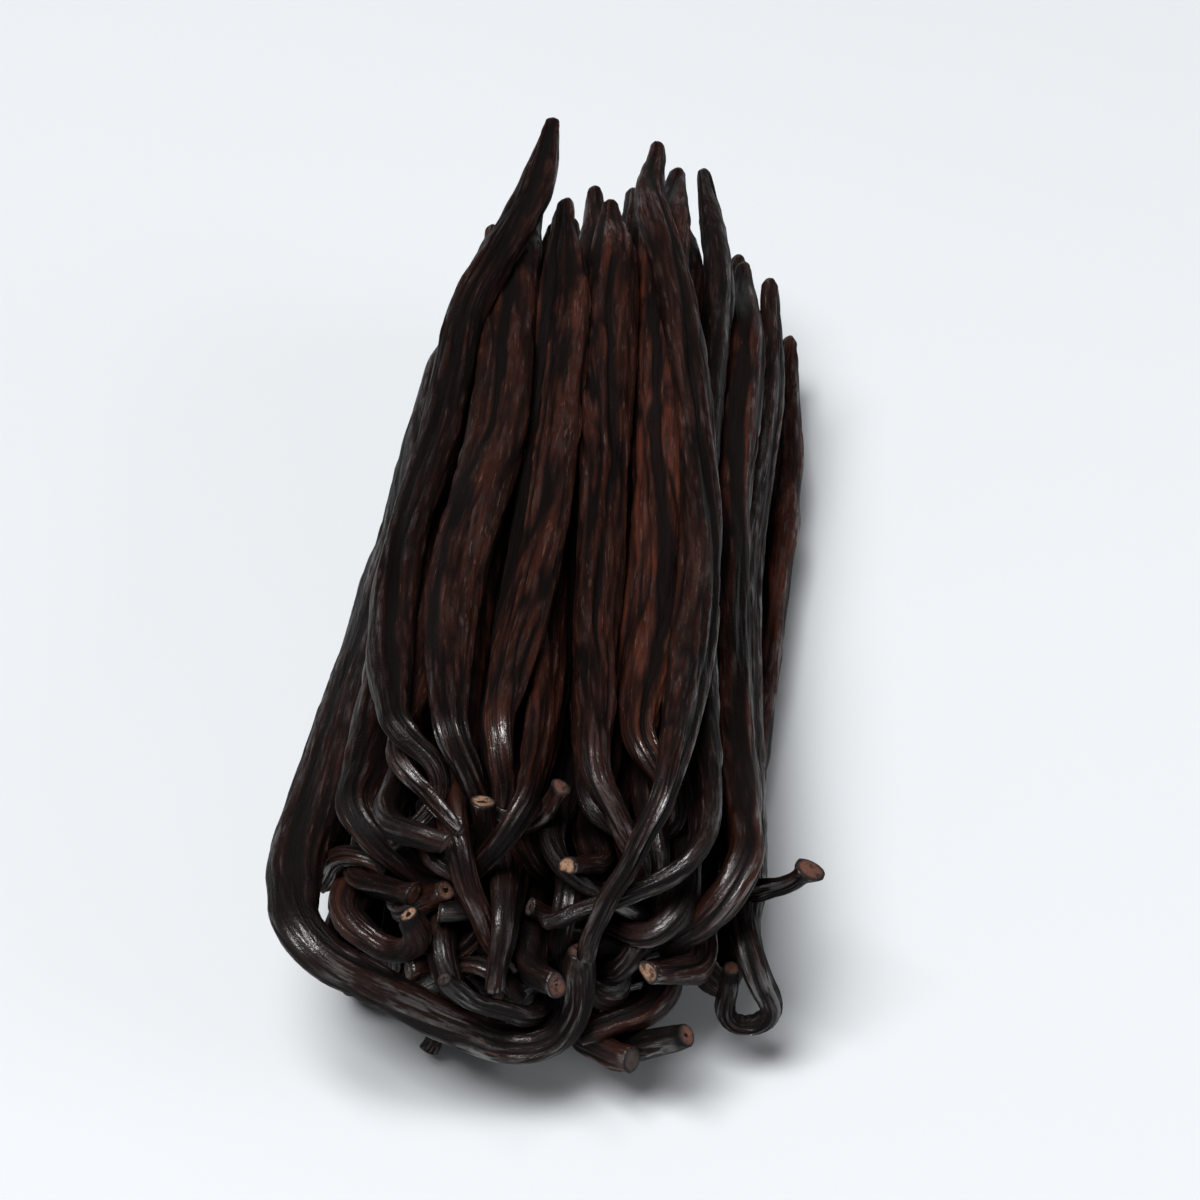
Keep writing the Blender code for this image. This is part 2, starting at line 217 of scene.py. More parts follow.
def make_pods():
    """Every pod's place in the bundle, its size and its hook."""
    rng = random.Random(SEED)
    pods = []
    for ring, (count, out) in enumerate(RINGS):
        members = [random_pod(rng, ring, out) for index in range(count)]
        start = math.pi * (ring % 2) / count
        places = ring_angles([pod["half_width"] for pod in members], start)
        for index, (pod, angle) in enumerate(zip(members, places)):
            pod["angle"] = angle
            pod["hook"] = random_hook(rng, angle, ring)
            if ring == 0 and index in HAND_HOOKS:
                pod["hook"] = HAND_HOOKS[index]
                pod["neck"] = -pod["hook"]["forward"]
        pods += members
    for place, wander in RIDERS:
        pod = random_pod(rng, 0, RIDER_OUT)
        pod["half_width"] = 0.5 * POD_WIDTH[0]
        pod["half_thickness"] = 0.5 * POD_THICKNESS[0]
        pod["angle"] = math.radians(place)
        pod["sway"] = math.radians(wander)
        pod["sway_phase"] = 0.4
        pod["sway_waves"] = 0.62
        pod["hook"] = random_hook(rng, pod["angle"], 0)
        pods.append(pod)
    return pods


def body_point(pod, along):
    """The middle of a pod at a distance from the line of the necks."""
    part = along / POD_SPAN
    angle = pod["angle"] + TURN * (part - 0.4)
    angle += pod["sway"] * math.sin(pod["sway_phase"] + pod["sway_waves"] * math.tau * part)
    across, up = outline_point(angle, pod["out"] * girth_at(part))
    lift = pod["rise"] * math.sin(pod["rise_phase"] + 2.0 * math.tau * part)
    bottom = BUNDLE_HALF_HEIGHT * girth_at(part) + 0.5 * POD_THICKNESS[1]
    drift = TIP_DRIFT * smooth(1.0 - (pod["tip"] - along) / TIP_BEND_LENGTH) ** 1.5
    height = bottom + up + lift + drift * pod["tip_drift"][1]
    return Vector((across + drift * pod["tip_drift"][0], along,
                   max(height, FLOOR + 0.5 * POD_THICKNESS[0])))


def turn_steps(degrees, radius):
    """The small turns of one bend, gentler at its start and end."""
    total = math.radians(abs(degrees))
    count = max(2, round(total * radius / LINE_STEP))
    weights = [math.sin(math.pi * (step + 0.5) / count) ** 0.6 for step in range(count)]
    scale = math.copysign(total, degrees) / sum(weights)
    return [weight * scale for weight in weights]


def hook_points(start, direction, pod):
    """The middle line of a stalk, from its neck to its cut end."""
    hook = pod["hook"]
    heading = math.radians(hook["heading"])
    aim = Vector((math.cos(heading), 0.0, math.sin(heading)))
    fold_axis = direction.cross(aim).normalized()
    turns = [(fold_axis, angle) for angle in turn_steps(hook["fold"], hook["fold_radius"])]
    turns += [(fold_axis, 0.0)] * round(hook["run"] / LINE_STEP)
    if hook["curl"]:
        face_axis = Vector((0.15 * math.sin(pod["sway_phase"]), -1.0, 0.15)).normalized()
        turns += [(face_axis, angle) for angle in turn_steps(hook["curl"], hook["curl_radius"])]
    turns += [(fold_axis, 0.0)] * max(1, round(hook["stub"] / LINE_STEP))
    points = []
    place = start
    for step, (axis, angle) in enumerate(turns):
        direction = Matrix.Rotation(angle, 3, axis) @ direction
        wobble = Vector((math.sin(1.1 * step + pod["sway_phase"]), 0.0,
                         math.cos(1.4 * step + pod["rise_phase"])))
        direction = (direction + HOOK_WOBBLE * wobble).normalized()
        place = place + direction * LINE_STEP
        place.z = max(place.z, FLOOR + pod["stalk"] * hook["girth"])
        points.append(place)
    return points


def pod_line(pod):
    """A pod's middle line from its blossom end to its cut end, and the number of its neck."""
    neck = round((pod["tip"] - pod["neck"]) / LINE_STEP)
    line = [body_point(pod, pod["tip"] + (pod["neck"] - pod["tip"]) * step / neck)
            for step in range(neck + 1)]
    direction = (line[-1] - line[-2]).normalized()
    return line + hook_points(line[-1], direction, pod), neck


def section_sizes(pod, places, last, neck):
    """Half the width and half the thickness at places along a pod's line, counted in its points."""
    hook = pod["hook"]
    from_tip = places * LINE_STEP
    to_neck = (neck - places) * LINE_STEP
    to_end = (last - places) * LINE_STEP
    hook_part = smooth((places - neck) / (last - neck))
    stem = pod["stalk"] * hook["girth"] * (1.0 + STALK_NARROWING * (0.5 - hook_part))
    broaden = smooth(to_neck / pod["neck_length"] + NECK_OVERLAP)
    taper = smooth(0.12 + 0.88 * from_tip / pod["tip_length"])
    blunt = np.sqrt(np.minimum(1.0, (from_tip + 0.0001) / (1.6 * TIP_RADIUS)))
    flare = 1.0 + (hook["flare"] - 1.0) * smooth(1.0 - to_end / FLARE_LENGTH)
    halves = np.array([[pod["half_width"]], [pod["half_thickness"]]])
    halves = stem + (halves - stem) * broaden
    halves = TIP_RADIUS + (halves - TIP_RADIUS) * taper
    return (halves * blunt * flare).T


def flat_directions(pod, line):
    """The direction across the flat side at each point, which starts out lying around the bundle
    and turns slowly with the pod's twist."""
    around = Vector((-math.sin(pod["angle"]) * BUNDLE_HALF_WIDTH, 0.0,
                     math.cos(pod["angle"]) * BUNDLE_HALF_HEIGHT))
    across = Matrix.Rotation(pod["roll"], 3, (line[1] - line[0]).normalized()) @ around
    directions = []
    for index in range(len(line)):
        before = line[max(0, index - 1)]
        after = line[min(len(line) - 1, index + 1)]
        tangent = (after - before).normalized()
        across = (across - across.dot(tangent) * tangent).normalized()
        across = Matrix.Rotation(pod["twist"] / len(line), 3, tangent) @ across
        directions.append(across)
    return directions


# ------------------------------------------------------------- the pods settle against each other

SETTLE_ROUNDS = 260
PAIRS_LAST = 12            # rounds for which one list of close pairs is kept
PAIR_MARGIN = 0.0012       # how far apart two round parts may be and still be watched
OWN_REACH = 8              # points of its own line that a pod doesn't feel
PUSH = 1.3                 # a little more than needed, so that it ends sooner
KEEP = 0.9985              # how much of its shift a pod keeps each round


def unit(vectors):
    """Each row at a length of 1."""
    return vectors / np.maximum(np.linalg.norm(vectors, axis=-1, keepdims=True), 1e-12)


def close_pairs(centres, radii, owner, order):
    """Every two round parts of different pods, or of far parts of one pod, that nearly touch."""
    cell = 2.0 * radii.max() + PAIR_MARGIN
    grid = np.floor(centres / cell).astype(np.int64)
    grid -= grid.min(axis=0) - 1
    spread = grid.max(axis=0) + 3
    key = (grid[:, 0] * spread[1] + grid[:, 1]) * spread[2] + grid[:, 2]
    sorting = np.argsort(key, kind="stable")
    sorted_key = key[sorting]
    found = []
    for step in np.ndindex(3, 3, 3):
        x, y, z = np.array(step) - 1
        shifted = key + (x * spread[1] + y) * spread[2] + z
        low = np.searchsorted(sorted_key, shifted, "left")
        count = np.searchsorted(sorted_key, shifted, "right") - low
        first = np.repeat(np.arange(len(centres)), count)
        offset = np.repeat(low - np.concatenate(([0], np.cumsum(count)[:-1])), count)
        second = sorting[offset + np.arange(count.sum())]
        apart = (owner[first] != owner[second]) | (
            np.abs(order[first] - order[second]) > OWN_REACH)
        fit = apart & (first < second)
        first, second = first[fit], second[fit]
        gap = np.linalg.norm(centres[first] - centres[second], axis=1)
        near = gap < radii[first] + radii[second] + PAIR_MARGIN
        found.append(np.stack([first[near], second[near]]))
    return np.concatenate(found, axis=1)


def settle(laid, sizes, across, owner, order, rounds):
    """Push the pods apart until they lie against each other, each bending as one soft strip. A
    point of a pod counts as three round parts side by side over its width."""
    count = len(laid)
    part_of = np.repeat(np.arange(count), 3)
    side = np.maximum(sizes[:, 0] - sizes[:, 1], 0.0)[:, None] * across
    radii = np.repeat(sizes.min(axis=1), 3)
    joined = owner[1:] == owner[:-1]
    has_before = np.concatenate(([False], joined))[:, None]
    has_after = np.concatenate((joined, [False]))[:, None]
    lowest = FLOOR + sizes[:, 1]
    shift = np.zeros_like(laid)
    for turn in range(rounds):
        points = laid + shift
        centres = np.stack([points - side, points, points + side], axis=1).reshape(-1, 3)
        if turn % PAIRS_LAST == 0:
            pairs = close_pairs(centres, radii, owner[part_of], order[part_of])
        first, second = pairs
        between = centres[first] - centres[second]
        gap = np.linalg.norm(between, axis=1) + 1e-9
        overlap = radii[first] + radii[second] - gap
        touch = overlap > 0.0
        first, second = part_of[first[touch]], part_of[second[touch]]
        push = between[touch] * (0.5 * overlap[touch] / gap[touch])[:, None]
        both = np.concatenate([first, second])
        moves = np.concatenate([push, -push])
        total = np.stack([np.bincount(both, moves[:, axis], count) for axis in range(3)], axis=1)
        shift += PUSH * total / np.maximum(np.bincount(both, minlength=count), 1)[:, None]
        for _ in range(3):
            before = np.where(has_before, np.roll(shift, 1, axis=0), shift)
            after = np.where(has_after, np.roll(shift, -1, axis=0), shift)
            shift = 0.5 * shift + 0.25 * (before + after)
        shift *= KEEP
        shift[:, 2] += np.maximum(lowest - laid[:, 2] - shift[:, 2], 0.0)
    return laid + shift


@functools.cache
def settled_pods():
    """Every pod with its settled middle line, in the frame's place."""
    pods = make_pods()
    lines, sizes, across = [], [], []
    for pod in pods:
        line, pod["neck_point"] = pod_line(pod)
        lines.append(np.array(line))
        across.append(np.array(flat_directions(pod, line)))
        places = np.arange(len(line), dtype=float)
        sizes.append(section_sizes(pod, places, len(line) - 1, pod["neck_point"]))
    counts = [len(line) for line in lines]
    owner = np.repeat(np.arange(len(pods)), counts)
    order = np.concatenate([np.arange(count) for count in counts])
    laid = np.concatenate(lines)
    reach = np.concatenate(sizes).max(axis=1)[:, None]
    middle = 0.5 * ((laid - reach).min(axis=0) + (laid + reach).max(axis=0))
    settled = settle(laid, np.concatenate(sizes), np.concatenate(across), owner, order,
                     SETTLE_ROUNDS)
    low, high = CAD_BOX
    settled += np.array([0.5 * (low[0] + high[0]) - middle[0],
                         0.5 * (low[1] + high[1]) - middle[1], low[2] - FLOOR])
    for index, (pod, flat) in enumerate(zip(pods, across)):
        pod["number"] = index
        pod["line"] = settled[owner == index]
        pod["across"] = flat
    return pods


# ------------------------------------------------------------------------------- a pod's surface

# Sides and rows of a pod's mesh, for the outermost pods, the ring under them and those inside.
# The rows are given as cuts of cuts.
OUTER_MESH = (96, (11, 11))
SECOND_MESH = (60, (11, 8))
INNER_MESH = (44, (9, 8))
HOOK_DENSITY = 1.9         # how much closer the rows lie in the hook than in the body
END_DENSITY = 5.0          # and at the blossom end and the cut end
BROAD_RIDGES = 13          # round the pod, 1.6 mm apart on the body
FINE_RIDGES = 29


def spline(values, places):
    """Rows between the given ones, on a smooth curve through them."""
    last = len(values) - 1
    index = np.clip(places.astype(int), 0, last - 1)
    part = (places - index)[:, None]
    a, b, c, d = (values[np.clip(index + step, 0, last)] for step in (-1, 0, 1, 2))
    return 0.5 * (2.0 * b + (c - a) * part + (2.0 * a - 5.0 * b + 4.0 * c - d) * part ** 2
                  + (3.0 * b - a - 3.0 * c + d) * part ** 3)


def ripple(rng, turns, lengths, around, spacing):
    """Smooth noise from -1 to 1 over turns round the pod, which it closes, and lengths in mm."""
    rows = lengths / spacing + 1.0
    columns = turns * around
    values = rng.uniform(-1.0, 1.0, (int(rows.max()) + 3, around))
    row = np.floor(rows).astype(int)
    column = np.floor(columns).astype(int)
    down = smooth(rows - row)
    over = smooth(columns - column)
    here = column % around
    after = (column + 1) % around
    first = values[row, here] * (1.0 - over) + values[row, after] * over
    second = values[row + 1, here] * (1.0 - over) + values[row + 1, after] * over
    return first * (1.0 - down) + second * down


def waver(rng, lengths, spacing):
    """Smooth noise from -1 to 1 along a pod."""
    return ripple(rng, np.zeros_like(lengths), lengths, 1, spacing)


def ridged(noise):
    """Rounded ridges with sharp valleys between them, from -0.5 in a valley to 0.5."""
    return np.sqrt(noise * noise + 0.006) * 1.25 - 0.5


def row_places(last, neck, count):
    """Where the rows of a mesh lie along a pod's line, counted in the line's points."""
    fine = np.linspace(0.0, last, 600)
    density = 1.0 + (HOOK_DENSITY - 1.0) * smooth((fine - neck + 8.0) / 6.0)
    density += END_DENSITY * np.exp(-fine / 1.1)
    density += 0.5 * END_DENSITY * np.exp(-(last - fine) / 0.8)
    walked = np.concatenate(([0.0], np.cumsum(0.5 * (density[1:] + density[:-1]))))
    return np.interp(np.linspace(0.0, walked[-1], count), walked, fine)


def pod_surface(pod, sides, rows, looks):
    """The points of a pod's skin, row by row from its blossom end, with what its material reads:
    straightened coordinates in mm, and how far the skin is stalk and how deep in a groove."""
    rng = np.random.default_rng((SEED, pod["number"]))
    ridge, crease, wrinkle = (depth / MM for depth in (
        looks.ridge_depth, looks.crease_depth, looks.bend_wrinkles))
    line, neck = pod["line"], pod["neck_point"]
    last = len(line) - 1
    places = row_places(last, neck, rows)
    middle = spline(line, places)
    steps = np.linalg.norm(np.diff(middle, axis=0), axis=1)
    length = np.concatenate(([0.0], np.cumsum(steps)))[:, None] / MM
    tangent = unit(np.gradient(middle, axis=0))
    bend = np.gradient(tangent, axis=0) / np.gradient(length[:, 0])[:, None]
    across = spline(pod["across"], places)
    across = unit(across - (across * tangent).sum(axis=1, keepdims=True) * tangent)
    over = np.cross(tangent, across)

    stalk = smooth((places - neck + 7.0) / 11.0)[:, None]
    sizes = section_sizes(pod, places, last, neck) / MM
    lumps = 1.0 + 0.04 * waver(rng, length, 11.0) + 0.06 * waver(rng, length, 25.0)
    flattened = rng.uniform(0.02, 0.24) * stalk
    wide = sizes[:, :1] * lumps * (1.0 + 0.8 * flattened)
    thick = sizes[:, 1:] * (1.0 + 0.06 * waver(rng, length, 13.0)) * (1.0 - flattened)
    even = np.linspace(0.0, 1.0, sides, endpoint=False)[None, :]
    flatness = (wide - thick) / (wide + thick)
    turn = math.tau * even + flatness * np.sin(2.0 * math.tau * even)
    power = 2.0 / (2.0 + 0.45 * (1.0 - stalk))
    cos, sin = np.cos(turn), np.sin(turn)
    x = wide * np.sign(cos) * np.abs(cos) ** power
    y = thick * np.sign(sin) * np.abs(sin) ** power
    slope = unit(np.stack([cos / wide, sin / thick], axis=-1))

    # Wrinkles run along the pod, wander round it and fade towards its ends
    from_end = np.minimum(length, length[-1] - length)
    fade = smooth(from_end / 5.0)
    wander = even + 0.10 * waver(rng, length, 35.0) + 0.012 * ripple(rng, even, length, 5, 7.0)
    strength = 0.55 + 0.45 * ripple(rng, even, length, 3, 16.0)
    softer = 1.0 - 0.30 * stalk
    height = ridge * strength * softer * ridged(
        ripple(rng, wander, length, BROAD_RIDGES, 15.0))
    height += crease * (0.75 + 0.45 * ripple(rng, even, length, 4, 5.0)) * ridged(
        ripple(rng, wander, length, FINE_RIDGES, 5.0))
    height += ridge * 0.6 * stalk * ridged(ripple(rng, wander, length, 5, 12.0))
    # Two to four long folds, where the skin has sunk in between the seeds and the edge
    for place in (0.25, 0.75, *rng.uniform(0.0, 1.0, rng.integers(0, 3))):
        place = place + rng.uniform(-0.07, 0.07) + 0.05 * waver(rng, length, 30.0)
        off = (wander - place + 0.5) % 1.0 - 0.5
        depth = rng.uniform(0.10, 0.32) * (0.65 + 0.35 * waver(rng, length, 14.0))
        breadth = rng.uniform(0.030, 0.055)
        height -= looks.fold_depth * depth * thick * (1.0 - 0.6 * stalk) * np.exp(
            -(off / breadth) ** 2)
    height *= 0.25 + 0.75 * fade
    # Short cross wrinkles on the inside of the bends
    outward = slope[..., :1] * across[:, None, :] + slope[..., 1:] * over[:, None, :]
    inside = np.clip((outward * bend[:, None, :]).sum(axis=2) * thick * 1.8 - 0.12, 0.0, 1.0)
    waves = np.cos(length * math.tau / 1.45 + 3.0 * ripple(rng, even, length, 6, 5.0))
    height += wrinkle * inside * (0.5 * waves - 0.6) * fade
    # The cut end is uneven
    near_end = smooth(1.0 - (length[-1] - length) / 2.0)
    height += near_end * 0.42 * ripple(rng, even, np.zeros_like(length), 4, 1.0)

    x = x + slope[..., 0] * height
    y = y + slope[..., 1] * height
    tilt = rng.normal(0.0, 0.16, 2)
    ahead = near_end * (x * tilt[0] + y * tilt[1])
    points = middle[:, None, :] + MM * (x[..., None] * across[:, None, :]
                                        + y[..., None] * over[:, None, :]
                                        + ahead[..., None] * tangent[:, None, :])
    points[..., 2] = np.maximum(points[..., 2], CAD_BOX[0][2])
    apart = rng.uniform(0.0, 400.0, 3)
    grain = np.stack([x, y, length + np.zeros_like(x)], axis=-1) + apart
    # How deep a point lies in a groove: the material paints the deep points near-black as painted
    # shade and keeps its oil off them
    ground = height / np.maximum(ridge + crease, 1e-6)
    groove = np.clip(0.42 - ground, 0.0, 1.0)
    finish = np.stack([np.full_like(x, pod_tone(rng, pod)), stalk + np.zeros_like(x), groove],
                      axis=-1)
    return points, grain, finish


def pod_tone(rng, pod):
    """How red a pod is: a third of them are clearly red-brown and the others nearly black."""
    if rng.random() < 0.42:
        return rng.uniform(0.65, 1.0)
    return rng.uniform(0.05, 0.5)


# ------------------------------------------------------------------------------ modelling helpers


def select_nothing():
    if bpy.context.object and bpy.context.object.mode != "OBJECT":
        bpy.ops.object.mode_set(mode="OBJECT")
    bpy.ops.object.select_all(action="DESELECT")


def edit_only(shape, kind, wanted):
    """Edit the shape with only its wanted edges or faces selected."""
    bpy.ops.object.mode_set(mode="EDIT")
    bpy.ops.mesh.select_mode(type=kind)
    bpy.ops.mesh.select_all(action="DESELECT")
    bpy.ops.object.mode_set(mode="OBJECT")
    for item in shape.data.edges if kind == "EDGE" else shape.data.polygons:
        item.select = wanted(item)
    bpy.ops.object.mode_set(mode="EDIT")


def model_rod(sides, cuts):
    """A plain closed rod of radius 1, with a row at each whole number of its height, from which
    every pod of one kind is copied and bent into shape."""
    rows = math.prod(cut + 1 for cut in cuts)
    select_nothing()
    bpy.ops.mesh.primitive_cylinder_add(vertices=sides, radius=1.0, depth=rows,
                                        location=(0.0, 0.0, 0.5 * rows), end_fill_type="TRIFAN")
    rod = bpy.context.object
    bpy.ops.object.transform_apply(location=True)

    def upright(edge):
        low, high = (rod.data.vertices[index].co.z for index in edge.vertices)
        return abs(high - low) > 0.5

    for cut in cuts:
        edit_only(rod, "EDGE", upright)
        bpy.ops.mesh.subdivide(number_cuts=cut)
        bpy.ops.object.mode_set(mode="OBJECT")
    if len(rod.data.vertices) != sides * (rows + 1) + 2:
        raise RuntimeError("the rod came out with other rows than it was given")
    rod.data.uv_layers[0].name = "OFBake"
    return rod, rows


def model_disc(sides, insets):
    """A thin closed disc of radius 1 whose upper face has a ring for each inset."""
    select_nothing()
    bpy.ops.mesh.primitive_cylinder_add(vertices=sides, radius=1.0, depth=1.0,
                                        location=(0.0, 0.0, -0.5), end_fill_type="NGON")
    disc = bpy.context.object
    bpy.ops.object.transform_apply(location=True)
    edit_only(disc, "FACE", lambda face: face.normal.z > 0.5)
    for inset in insets:
        bpy.ops.mesh.inset(thickness=inset)
    bpy.ops.mesh.poke()
    bpy.ops.object.mode_set(mode="OBJECT")
    disc.data.uv_layers[0].name = "OFBake"
    return disc


def coordinates(mesh):
    """A mesh's points as an array."""
    found = np.empty(3 * len(mesh.vertices))
    mesh.vertices.foreach_get("co", found)
    return found.reshape(-1, 3)


def shaped_copy(blank, name, points, values):
    """A copy of a blank with its own mesh, moved to these points, which carries these values."""
    shaped = blank.copy()
    shaped.data = blank.data.copy()
    shaped.name = name
    bpy.context.scene.collection.objects.link(shaped)
    shaped.data.vertices.foreach_set("co", points.ravel())
    for label, vectors in values.items():
        layer = shaped.data.attributes.new(label, "FLOAT_VECTOR", "POINT")
        layer.data.foreach_set("vector", vectors.ravel())
    shaped.data.update()
    return shaped


def lay_out_map(shaped, index, count):
    """Move the copy's map to its own strip, with its two round ends small at the strip's foot."""
    layer = shaped.data.uv_layers["OFBake"].uv
    found = np.empty(2 * len(layer))
    layer.foreach_get("vector", found)
    u, v = found.reshape(-1, 2).T
    v = np.where(v >= 0.4999, 0.03 + 0.965 * (v - 0.5) / 0.5, 0.052 * v)
    u = (index + 0.02 + 0.96 * u) / count
    layer.foreach_set("vector", np.stack([u, v], axis=1).ravel())


def join(copies, name, material):
    """The copies as one smooth piece with its material, riding on the CAD's body."""
    select_nothing()
    for copy in copies:
        copy.select_set(True)
    bpy.context.view_layer.objects.active = copies[0]
    bpy.ops.object.join()
    piece = bpy.context.object
    piece.name = name
    piece.data.name = name
    bpy.ops.object.mode_set(mode="EDIT")
    bpy.ops.mesh.select_all(action="SELECT")
    bpy.ops.mesh.normals_make_consistent(inside=False)
    bpy.ops.object.mode_set(mode="OBJECT")
    bpy.ops.object.shade_smooth()
    piece.data.materials.clear()
    piece.data.materials.append(material)
    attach(piece, BODY)
    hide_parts(CAD_NODE)
    return piece


def make_pod_piece(name, pods, mesh_size, looks, colours):
    """Bend one rod into each of these pods and join them."""
    sides, cuts = mesh_size
    rod, rows = model_rod(sides, cuts)
    blank = coordinates(rod.data)
    row = np.rint(blank[:, 2]).astype(int)
    side = np.rint(np.arctan2(blank[:, 1], blank[:, 0]) / math.tau * sides).astype(int) % sides
    pole = np.hypot(blank[:, 0], blank[:, 1]) < 0.5
    copies = []
    for index, pod in enumerate(pods):
        fields = []
        for field in pod_surface(pod, sides, rows + 1, looks):
            spread = field[row, side]
            spread[pole] = field[row[pole]].mean(axis=1)
            fields.append(spread)
        points, grain, finish = fields
        copy = shaped_copy(rod, name, points, {"grain": grain, "finish": finish})
        lay_out_map(copy, index, len(pods))
        copies.append(copy)
    bpy.data.objects.remove(rod)
    return join(copies, name, pod_skin(colours, looks))


# ------------------------------------------------------------------------------------- materials


SMOOTH_RANGE = {"interpolation_type": "SMOOTHSTEP"}
TIMES = {"operation": "MULTIPLY"}
COLOURS = {"data_type": "RGBA"}


def linear(colour):
    """An sRGB hex colour as linear numbers, with a full alpha."""
    values = [int(colour[start:start + 2], 16) / 255.0 for start in (1, 3, 5)]
    return (*(value / 12.92 if value <= 0.04045 else ((value + 0.055) / 1.055) ** 2.4
              for value in values), 1.0)


def add(tree, kind, settings=None, **inputs):
    """Add a node with its settings. An input is a value, or a node or socket to link to, and
    its name is the socket's, or its number after a line."""
    node = tree.nodes.new(kind)
    for name, value in (settings or {}).items():
        setattr(node, name, value)
    for name, value in inputs.items():
        name = int(name[1:]) if name[0] == "_" else name.replace("_", " ")
        if isinstance(value, bpy.types.Node):
            value = value.outputs[0]
        if isinstance(value, bpy.types.NodeSocket):
            tree.links.new(value, node.inputs[name])
        else:
            node.inputs[name].default_value = value
    return node


def pod_skin(colours, shapes):
    """Cured vanilla pod skin: sweated and dried until it is oily, supple and finely wrinkled. It
    is nearly black, with red-brown where light gets under the oil, and the oil lies in broken
    streaks on its ridges, most of it on the handled stalks."""
    name = "cured vanilla pod skin, oily and wrinkled"
    if name in bpy.data.materials:
        return bpy.data.materials[name]
    material = bpy.data.materials.new(name)
    material.use_nodes = True
    tree = material.node_tree
    shader = tree.nodes["Principled BSDF"]
    grain = add(tree, "ShaderNodeAttribute", {"attribute_name": "grain"}).outputs["Vector"]
    finish = add(tree, "ShaderNodeAttribute", {"attribute_name": "finish"}).outputs["Vector"]
    tone, stalk, groove = add(tree, "ShaderNodeSeparateXYZ", _0=finish).outputs

    # Noises in mm, each stretched along the pod: its width, how many times as long, its detail
    noise = {}
    for part, width, stretch, detail in (
            ("blotch", 6.0, 5.0, 2.0), ("band", 0.9, 15.0, 3.0), ("fine", 0.40, 11.0, 3.0),
            ("oil", 0.60, 8.0, 3.0), ("patch", 2.8, 1.8, 3.0), ("speck", 0.22, 1.6, 2.0)):
        squash = add(tree, "ShaderNodeMapping", Vector=grain, Scale=(1.0, 1.0, 1.0 / stretch))
        noise[part] = add(tree, "ShaderNodeTexNoise", Vector=squash, Scale=1.0 / width,
                          Detail=detail, Roughness=0.55)

    # Red-brown shows in blotches and bands, more on some pods than on others
    blotches = add(tree, "ShaderNodeMapRange", SMOOTH_RANGE, Value=noise["blotch"], From_Min=0.30,
                   From_Max=0.66, To_Min=0.45)
    bands = add(tree, "ShaderNodeMapRange", SMOOTH_RANGE, Value=noise["band"], From_Min=0.36,
                From_Max=0.62, To_Min=0.35)
    red = add(tree, "ShaderNodeMath", TIMES, _0=blotches, _1=bands)
    red = add(tree, "ShaderNodeMath", TIMES, _0=red, _1=tone)
    skin = add(tree, "ShaderNodeMix", COLOURS, _0=red, _6=colours.dark_skin,
               _7=colours.red_skin).outputs[2]
    # The stalks are greyer, and fine pale streaks lie on their ridges: partly dry dust and partly
    # painted sheen
    greyed = add(tree, "ShaderNodeMapRange", SMOOTH_RANGE, Value=stalk, From_Min=0.1, To_Max=0.35)
    skin = add(tree, "ShaderNodeMix", COLOURS, _0=greyed, _6=skin,
               _7=colours.stalk_skin).outputs[2]
    scuffs_and_sheen = add(tree, "ShaderNodeMapRange", SMOOTH_RANGE, Value=noise["fine"], From_Min=0.58,
                 From_Max=0.72, To_Max=0.45)
    skin = add(tree, "ShaderNodeMix", COLOURS, _0=scuffs_and_sheen, _6=skin,
               _7=colours.dust_and_sheen_streak).outputs[2]
    # The bottoms of folds and creases are painted near-black by their depth: painted shade
    deep = add(tree, "ShaderNodeMapRange", SMOOTH_RANGE, Value=groove, From_Min=0.25,
               From_Max=0.70, To_Max=0.95)
    skin = add(tree, "ShaderNodeMix", COLOURS, _0=deep, _6=skin, _7=colours.groove).outputs[2]
    tree.links.new(skin, shader.inputs["Base Color"])

    # Under the oil the skin is matt and hardly mirrors the room. The oil lies on the ridges
    matt = add(tree, "ShaderNodeMapRange", SMOOTH_RANGE, Value=noise["blotch"], From_Min=0.32,
               From_Max=0.66, To_Min=0.45, To_Max=0.70)
    tree.links.new(matt.outputs[0], shader.inputs["Roughness"])
    shader.inputs["Specular IOR Level"].default_value = 0.10
    streaks = add(tree, "ShaderNodeMapRange", SMOOTH_RANGE, Value=noise["oil"], From_Min=0.42,
                  From_Max=0.54)
    breaks = add(tree, "ShaderNodeMapRange", SMOOTH_RANGE, Value=noise["patch"], From_Min=0.38,
                 From_Max=0.56, To_Min=0.10)
    handled = add(tree, "ShaderNodeMapRange", Value=stalk, To_Min=0.60)
    ridges = add(tree, "ShaderNodeMapRange", SMOOTH_RANGE, Value=groove, From_Min=0.20,
                 From_Max=0.62, To_Min=1.0, To_Max=0.0)
    oil = add(tree, "ShaderNodeMath", TIMES, _0=streaks, _1=breaks)
    for less in (handled, ridges):
        oil = add(tree, "ShaderNodeMath", TIMES, _0=oil, _1=less)
    tree.links.new(oil.outputs[0], shader.inputs["Coat Weight"])
    shader.inputs["Coat Roughness"].default_value = 0.30
    shader.inputs["Coat IOR"].default_value = 1.85

    height = add(tree, "ShaderNodeMath", TIMES, _0=noise["band"], _1=0.35)
    height = add(tree, "ShaderNodeMath", {"operation": "MULTIPLY_ADD"}, _0=noise["fine"],
                 _1=0.45, _2=height)
    height = add(tree, "ShaderNodeMath", {"operation": "MULTIPLY_ADD"}, _0=noise["speck"],
                 _1=0.25, _2=height)
    bump = add(tree, "ShaderNodeBump", Height=height, Distance=shapes.skin_grain,
               Strength=1.0)
    tree.links.new(bump.outputs[0], shader.inputs["Normal"])
    tree.links.new(bump.outputs[0], shader.inputs["Coat Normal"])
    return material


